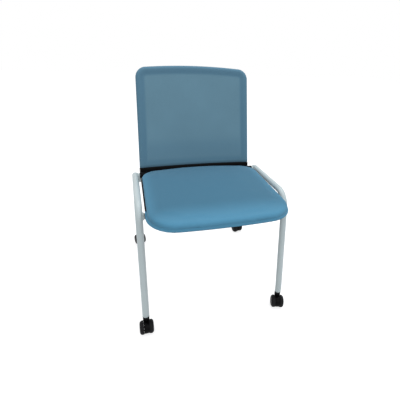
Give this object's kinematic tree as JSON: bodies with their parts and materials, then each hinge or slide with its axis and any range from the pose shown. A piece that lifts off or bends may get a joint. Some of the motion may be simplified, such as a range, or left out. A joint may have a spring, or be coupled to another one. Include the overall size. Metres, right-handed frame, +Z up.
{
  "type": "nesting chair",
  "caption": "Armless nesting chair: padded seat that flips up between two bent side tubes, curved back in a knitted sleeve, twin-wheel swivel casters.",
  "frame": {"origin": "on the floor, under the middle of the bounding box", "axes": "+Z up, -Y to the front of the chair, +X to the sitter's left, which is the picture's right"},
  "size_m": [0.5271, 0.5848, 0.7926],
  "materials": {
    "frame_paint": "satin pale grey powder coat",
    "black_plastic": "fine satin grain",
    "black_rubber": "matte",
    "tread_rubber": "matte soft tread",
    "loop_steel": "black coat, hidden in the sleeve",
    "knit_fabric": "taut grey-blue knit",
    "seat_fabric": "blue upholstery cloth",
    "plywood": "raw, hidden in the seat",
    "bright_steel": "zinc plated"
  },
  "bodies": {
    "frame": {"side_tube_left": "frame_paint", "side_tube_right": "frame_paint", "rear_cross_tube": "frame_paint", "hinge_pin_left": "frame_paint", "hinge_pin_right": "frame_paint", "rest_peg_left": "frame_paint", "rest_peg_right": "frame_paint", "rest_sleeve_left": "black_rubber", "rest_sleeve_right": "black_rubber", "back_post_left": "frame_paint", "back_post_right": "frame_paint", "back_rail": "black_plastic", "back_loop": "loop_steel", "back_sleeve": "knit_fabric", "back_screws": "bright_steel", "leg_plugs": "black_plastic", "caster_stems": "bright_steel"},
    "seat": {"seat_shell": "black_plastic", "seat_board": "plywood", "seat_pad": "seat_fabric", "hinge_ear_left": "black_plastic", "hinge_ear_right": "black_plastic", "hinge_bush_left": "black_plastic", "hinge_bush_right": "black_plastic", "rest_saddle_left": "black_rubber", "rest_saddle_right": "black_rubber", "seat_screws": "bright_steel"},
    "front_left_caster": {"front_left_body": "black_plastic", "front_left_axle": "bright_steel"},
    "front_left_wheel_a": {"front_left_wheel_a": "black_plastic", "front_left_tread_a": "tread_rubber"},
    "front_left_wheel_b": {"front_left_wheel_b": "black_plastic", "front_left_tread_b": "tread_rubber"},
    "front_right_caster": {"front_right_body": "black_plastic", "front_right_axle": "bright_steel"},
    "front_right_wheel_a": {"front_right_wheel_a": "black_plastic", "front_right_tread_a": "tread_rubber"},
    "front_right_wheel_b": {"front_right_wheel_b": "black_plastic", "front_right_tread_b": "tread_rubber"},
    "rear_left_caster": {"rear_left_body": "black_plastic", "rear_left_axle": "bright_steel"},
    "rear_left_wheel_a": {"rear_left_wheel_a": "black_plastic", "rear_left_tread_a": "tread_rubber"},
    "rear_left_wheel_b": {"rear_left_wheel_b": "black_plastic", "rear_left_tread_b": "tread_rubber"},
    "rear_right_caster": {"rear_right_body": "black_plastic", "rear_right_axle": "bright_steel"},
    "rear_right_wheel_a": {"rear_right_wheel_a": "black_plastic", "rear_right_tread_a": "tread_rubber"},
    "rear_right_wheel_b": {"rear_right_wheel_b": "black_plastic", "rear_right_tread_b": "tread_rubber"}
  },
  "joints": [
    {"name": "seat_flip", "type": "hinge", "parent": "frame", "child": "seat", "pos_m": [0, 0.11465, 0.415], "axis": [-1, 0, 0], "range_deg": [0, 92]},
    {"name": "front_left_swivel", "type": "hinge", "parent": "frame", "child": "front_left_caster", "pos_m": [-0.238, -0.21685, 0.056], "axis": [0, 0, 1], "continuous": true},
    {"name": "front_left_spin_a", "type": "hinge", "parent": "front_left_caster", "child": "front_left_wheel_a", "pos_m": [-0.238, -0.22885, 0.022], "axis": [1, 0, 0], "continuous": true},
    {"name": "front_left_spin_b", "type": "hinge", "parent": "front_left_caster", "child": "front_left_wheel_b", "pos_m": [-0.238, -0.22885, 0.022], "axis": [1, 0, 0], "continuous": true},
    {"name": "front_right_swivel", "type": "hinge", "parent": "frame", "child": "front_right_caster", "pos_m": [0.238, -0.21685, 0.056], "axis": [0, 0, 1], "continuous": true},
    {"name": "front_right_spin_a", "type": "hinge", "parent": "front_right_caster", "child": "front_right_wheel_a", "pos_m": [0.23469, -0.22839, 0.022], "axis": [0.9613, -0.2756, 0], "continuous": true},
    {"name": "front_right_spin_b", "type": "hinge", "parent": "front_right_caster", "child": "front_right_wheel_b", "pos_m": [0.23469, -0.22839, 0.022], "axis": [0.9613, -0.2756, 0], "continuous": true},
    {"name": "rear_left_swivel", "type": "hinge", "parent": "frame", "child": "rear_left_caster", "pos_m": [-0.238, 0.27815, 0.056], "axis": [0, 0, 1], "continuous": true},
    {"name": "rear_left_spin_a", "type": "hinge", "parent": "rear_left_caster", "child": "rear_left_wheel_a", "pos_m": [-0.2351, 0.2665, 0.022], "axis": [0.9703, 0.2419, 0], "continuous": true},
    {"name": "rear_left_spin_b", "type": "hinge", "parent": "rear_left_caster", "child": "rear_left_wheel_b", "pos_m": [-0.2351, 0.2665, 0.022], "axis": [0.9703, 0.2419, 0], "continuous": true},
    {"name": "rear_right_swivel", "type": "hinge", "parent": "frame", "child": "rear_right_caster", "pos_m": [0.238, 0.27815, 0.056], "axis": [0, 0, 1], "continuous": true},
    {"name": "rear_right_spin_a", "type": "hinge", "parent": "rear_right_caster", "child": "rear_right_wheel_a", "pos_m": [0.2409, 0.2665, 0.022], "axis": [0.9703, 0.2419, 0], "continuous": true},
    {"name": "rear_right_spin_b", "type": "hinge", "parent": "rear_right_caster", "child": "rear_right_wheel_b", "pos_m": [0.2409, 0.2665, 0.022], "axis": [0.9703, 0.2419, 0], "continuous": true}
  ]
}
